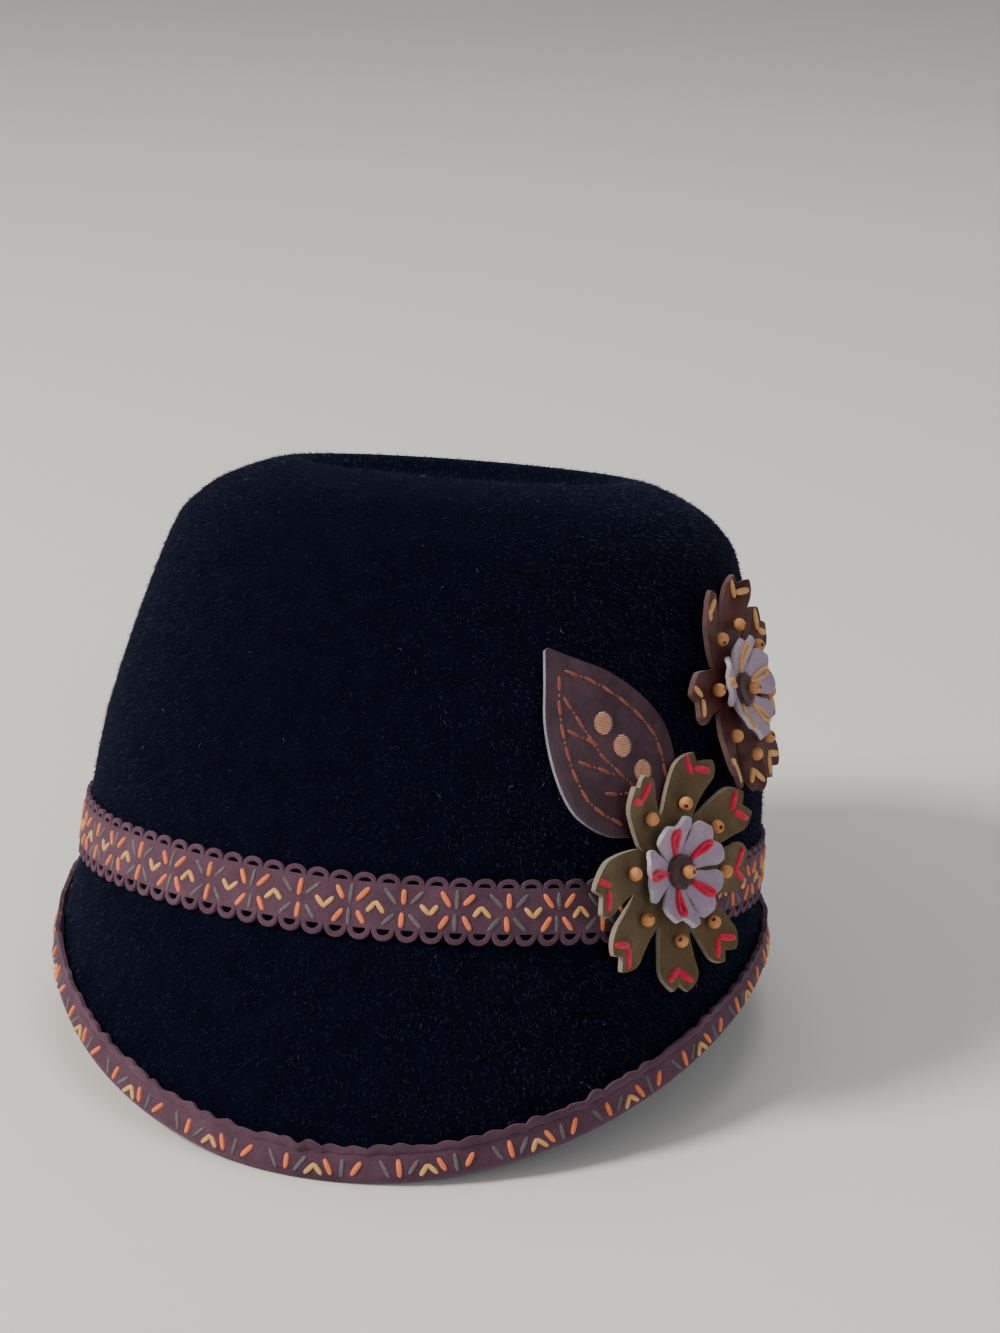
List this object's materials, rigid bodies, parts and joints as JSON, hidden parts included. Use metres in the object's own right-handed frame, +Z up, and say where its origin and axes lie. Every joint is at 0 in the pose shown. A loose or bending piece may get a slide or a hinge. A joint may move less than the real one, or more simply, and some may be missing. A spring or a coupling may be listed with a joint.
{
  "type": "cloche hat",
  "caption": "Velour felt cloche with a dented crown and deep peak, a scalloped leather band and rim binding, and a leaf and flowers sewn on one side.",
  "frame": {"origin": "centre of the hat's bounding box, on the plane that it rests on", "axes": "+Z up, the peak towards -Y, the flowers on the +X side, which is the wearer's left; the hat lies on the edge of its peak and the back of its rim, pitched back about 11 degrees"},
  "size_m": [0.1962, 0.2288, 0.1452],
  "materials": {
    "velour_felt": "deep navy velour felt with a short nap",
    "trim_suede": "mauve-brown suede strip, scalloped and embroidered",
    "leaf_leather": "smooth dark plum leather with a raw edge",
    "olive_suede": "olive suede with pale raw edges",
    "burgundy_leather": "soft burgundy-brown leather",
    "lilac_suede": "lilac-grey suede",
    "patch_leather": "dark brown suede",
    "bead_wood": "tan wooden bead, satin"
  },
  "bodies": {
    "root": {"felt_body": "velour_felt", "hat_band": "trim_suede", "rim_binding": "trim_suede", "leaf": "leaf_leather", "lower_outer_flower": "olive_suede", "lower_inner_flower": "lilac_suede", "lower_centre_patch": "patch_leather", "lower_centre_bead": "bead_wood", "lower_petal_bead_1": "bead_wood", "lower_petal_bead_2": "bead_wood", "lower_petal_bead_3": "bead_wood", "lower_petal_bead_4": "bead_wood", "lower_petal_bead_5": "bead_wood", "lower_petal_bead_6": "bead_wood", "lower_petal_bead_7": "bead_wood", "lower_petal_bead_8": "bead_wood", "upper_outer_flower": "burgundy_leather", "upper_inner_flower": "lilac_suede", "upper_centre_patch": "patch_leather", "upper_centre_bead": "bead_wood", "upper_petal_bead_1": "bead_wood", "upper_petal_bead_2": "bead_wood", "upper_petal_bead_3": "bead_wood", "upper_petal_bead_4": "bead_wood", "upper_petal_bead_5": "bead_wood", "upper_petal_bead_6": "bead_wood", "upper_petal_bead_7": "bead_wood", "upper_petal_bead_8": "bead_wood"}
  },
  "joints": []
}
